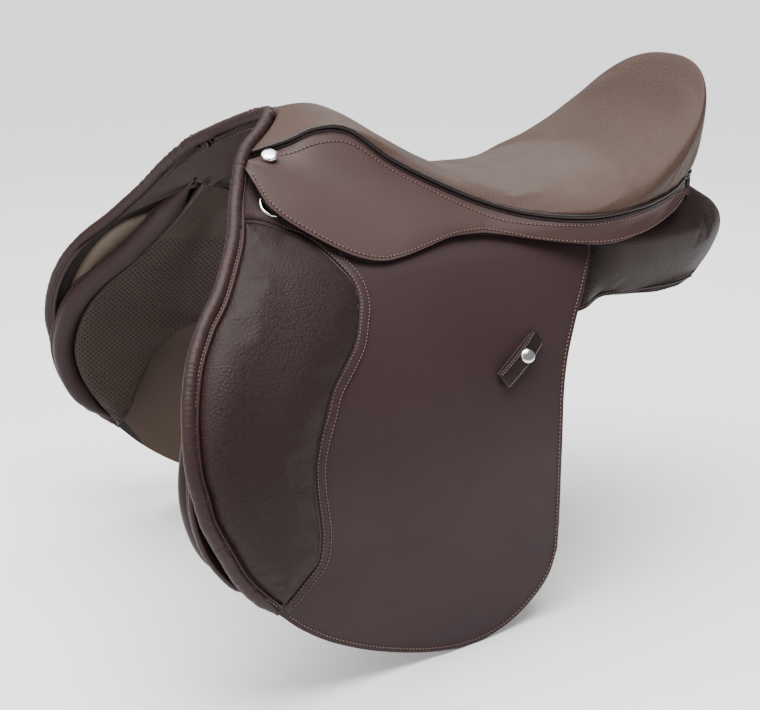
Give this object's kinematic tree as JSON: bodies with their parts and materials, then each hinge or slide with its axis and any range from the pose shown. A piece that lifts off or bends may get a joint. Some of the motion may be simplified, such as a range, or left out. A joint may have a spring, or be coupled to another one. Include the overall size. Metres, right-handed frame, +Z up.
{
  "type": "english saddle",
  "caption": "English riding saddle with deep seat, lifting skirts and flaps, padded knee rolls, flocked panels, girth straps and stirrup bars with safety catches.",
  "frame": {"origin": "middle of the place where the panels rest on the horse's back, on the symmetry plane, 280 mm above the lowest edge of the flaps", "axes": "+X from the pommel to the cantle, +Z up, the horse's left side at -Y"},
  "size_m": [0.5825, 0.4952, 0.4733],
  "materials": {
    "tree_polymer": "glass-filled moulded tree",
    "plain_steel": "forged steel, satin",
    "bright_nickel": "polished nickel plate",
    "webbing": "flat woven webbing",
    "seat_foam": "foam sheet",
    "flocking": "wool flock",
    "seat_leather": "brown pebble-grained leather, satin",
    "skirt_leather": "smooth rosy brown leather, satin",
    "flap_leather": "smooth brown leather, matte",
    "grained_leather": "dark brown pebble-grained leather",
    "panel_leather": "dark brown perforated and grained leather",
    "binding_leather": "thin rolled leather",
    "lining_leather": "near black lining leather",
    "sweat_leather": "flesh side of brown leather, fine nap",
    "strap_leather": "brown bridle leather"
  },
  "bodies": {
    "root": {"tree": "tree_polymer", "gullet_plate": "plain_steel", "gullet_screws": "bright_nickel", "stirrup_bar_left": "plain_steel", "stirrup_bar_right": "plain_steel", "stirrup_bar_rivets": "bright_nickel", "seat_webbing": "webbing", "seat_foam": "seat_foam", "seat_cover": "seat_leather", "seat_welt": "binding_leather", "skirt_top_left": "skirt_leather", "skirt_top_right": "skirt_leather", "cantle_facing": "skirt_leather", "pommel_binding": "binding_leather", "gullet_lining": "lining_leather", "head_nails": "bright_nickel", "flap_top_left": "flap_leather", "flap_top_right": "flap_leather", "panel_left": "panel_leather", "panel_right": "panel_leather", "panel_fill_left": "flocking", "panel_fill_right": "flocking", "panel_roll_left": "grained_leather", "panel_roll_right": "grained_leather", "sweat_flap_left": "sweat_leather", "sweat_flap_right": "sweat_leather", "knee_block_left": "sweat_leather", "knee_block_right": "sweat_leather", "girth_web_left": "webbing", "girth_web_right": "webbing", "ring_strap_left": "binding_leather", "ring_strap_right": "binding_leather"},
    "skirt_body_left": {"skirt_left": "skirt_leather"},
    "flap_body_left": {"flap_left": "flap_leather", "knee_pad_left": "grained_leather", "pad_border_left": "flap_leather", "flap_binding_left": "binding_leather", "keeper_left": "flap_leather", "keeper_stud_left": "bright_nickel"},
    "ring_body_left": {"front_ring_left": "bright_nickel"},
    "catch_body_left": {"bar_catch_left": "plain_steel"},
    "strap_body_front_left": {"girth_strap_front_left": "strap_leather"},
    "strap_body_mid_left": {"girth_strap_mid_left": "strap_leather"},
    "strap_body_rear_left": {"girth_strap_rear_left": "strap_leather"},
    "skirt_body_right": {"skirt_right": "skirt_leather"},
    "flap_body_right": {"flap_right": "flap_leather", "knee_pad_right": "grained_leather", "pad_border_right": "flap_leather", "flap_binding_right": "binding_leather", "keeper_right": "flap_leather", "keeper_stud_right": "bright_nickel"},
    "ring_body_right": {"front_ring_right": "bright_nickel"},
    "catch_body_right": {"bar_catch_right": "plain_steel"},
    "strap_body_front_right": {"girth_strap_front_right": "strap_leather"},
    "strap_body_mid_right": {"girth_strap_mid_right": "strap_leather"},
    "strap_body_rear_right": {"girth_strap_rear_right": "strap_leather"}
  },
  "joints": [
    {"name": "skirt_lift_left", "type": "hinge", "parent": "root", "child": "skirt_body_left", "pos_m": [-0.2, -0.074, 0.127], "axis": [-0.9284, 0.2128, 0.3046], "range_deg": [0, 80]},
    {"name": "flap_lift_left", "type": "hinge", "parent": "root", "child": "flap_body_left", "pos_m": [-0.255, -0.1615, 0.047], "axis": [-0.9929, -0.1162, 0.0249], "range_deg": [0, 85]},
    {"name": "ring_swing_left", "type": "hinge", "parent": "root", "child": "ring_body_left", "pos_m": [-0.18714, -0.09348, 0.10386], "axis": [-0.08, -0.7098, 0.6998], "range_deg": [-9, 15]},
    {"name": "catch_turn_left", "type": "hinge", "parent": "root", "child": "catch_body_left", "pos_m": [-0.103, -0.09675, 0.072], "axis": [0, -1, 0], "range_deg": [0, 60]},
    {"name": "strap_swing_front_left", "type": "hinge", "parent": "root", "child": "strap_body_front_left", "pos_m": [-0.04, -0.138, 0.02], "axis": [0.1914, -0.9815, 0], "range_deg": [-6, 6]},
    {"name": "strap_swing_mid_left", "type": "hinge", "parent": "root", "child": "strap_body_mid_left", "pos_m": [0, -0.13202, 0.02], "axis": [0.1914, -0.9815, 0], "range_deg": [-6, 6]},
    {"name": "strap_swing_rear_left", "type": "hinge", "parent": "root", "child": "strap_body_rear_left", "pos_m": [0.036, -0.12663, 0.02], "axis": [0.1914, -0.9815, 0], "range_deg": [-6, 6]},
    {"name": "skirt_lift_right", "type": "hinge", "parent": "root", "child": "skirt_body_right", "pos_m": [-0.2, 0.074, 0.127], "axis": [0.9284, 0.2128, -0.3046], "range_deg": [0, 80]},
    {"name": "flap_lift_right", "type": "hinge", "parent": "root", "child": "flap_body_right", "pos_m": [-0.255, 0.1615, 0.047], "axis": [0.9929, -0.1162, -0.0249], "range_deg": [0, 85]},
    {"name": "ring_swing_right", "type": "hinge", "parent": "root", "child": "ring_body_right", "pos_m": [-0.18714, 0.09348, 0.10386], "axis": [0.08, -0.7098, -0.6998], "range_deg": [-9, 15]},
    {"name": "catch_turn_right", "type": "hinge", "parent": "root", "child": "catch_body_right", "pos_m": [-0.103, 0.09675, 0.072], "axis": [0, -1, 0], "range_deg": [0, 60]},
    {"name": "strap_swing_front_right", "type": "hinge", "parent": "root", "child": "strap_body_front_right", "pos_m": [-0.04, 0.138, 0.02], "axis": [-0.1914, -0.9815, 0], "range_deg": [-6, 6]},
    {"name": "strap_swing_mid_right", "type": "hinge", "parent": "root", "child": "strap_body_mid_right", "pos_m": [0, 0.13202, 0.02], "axis": [-0.1914, -0.9815, 0], "range_deg": [-6, 6]},
    {"name": "strap_swing_rear_right", "type": "hinge", "parent": "root", "child": "strap_body_rear_right", "pos_m": [0.036, 0.12663, 0.02], "axis": [-0.1914, -0.9815, 0], "range_deg": [-6, 6]}
  ],
  "couplings": [
    {"joint": "strap_swing_mid_left", "follows": "strap_swing_front_left", "ratio": 1},
    {"joint": "strap_swing_rear_left", "follows": "strap_swing_front_left", "ratio": 1},
    {"joint": "strap_swing_mid_right", "follows": "strap_swing_front_right", "ratio": 1},
    {"joint": "strap_swing_rear_right", "follows": "strap_swing_front_right", "ratio": 1}
  ]
}
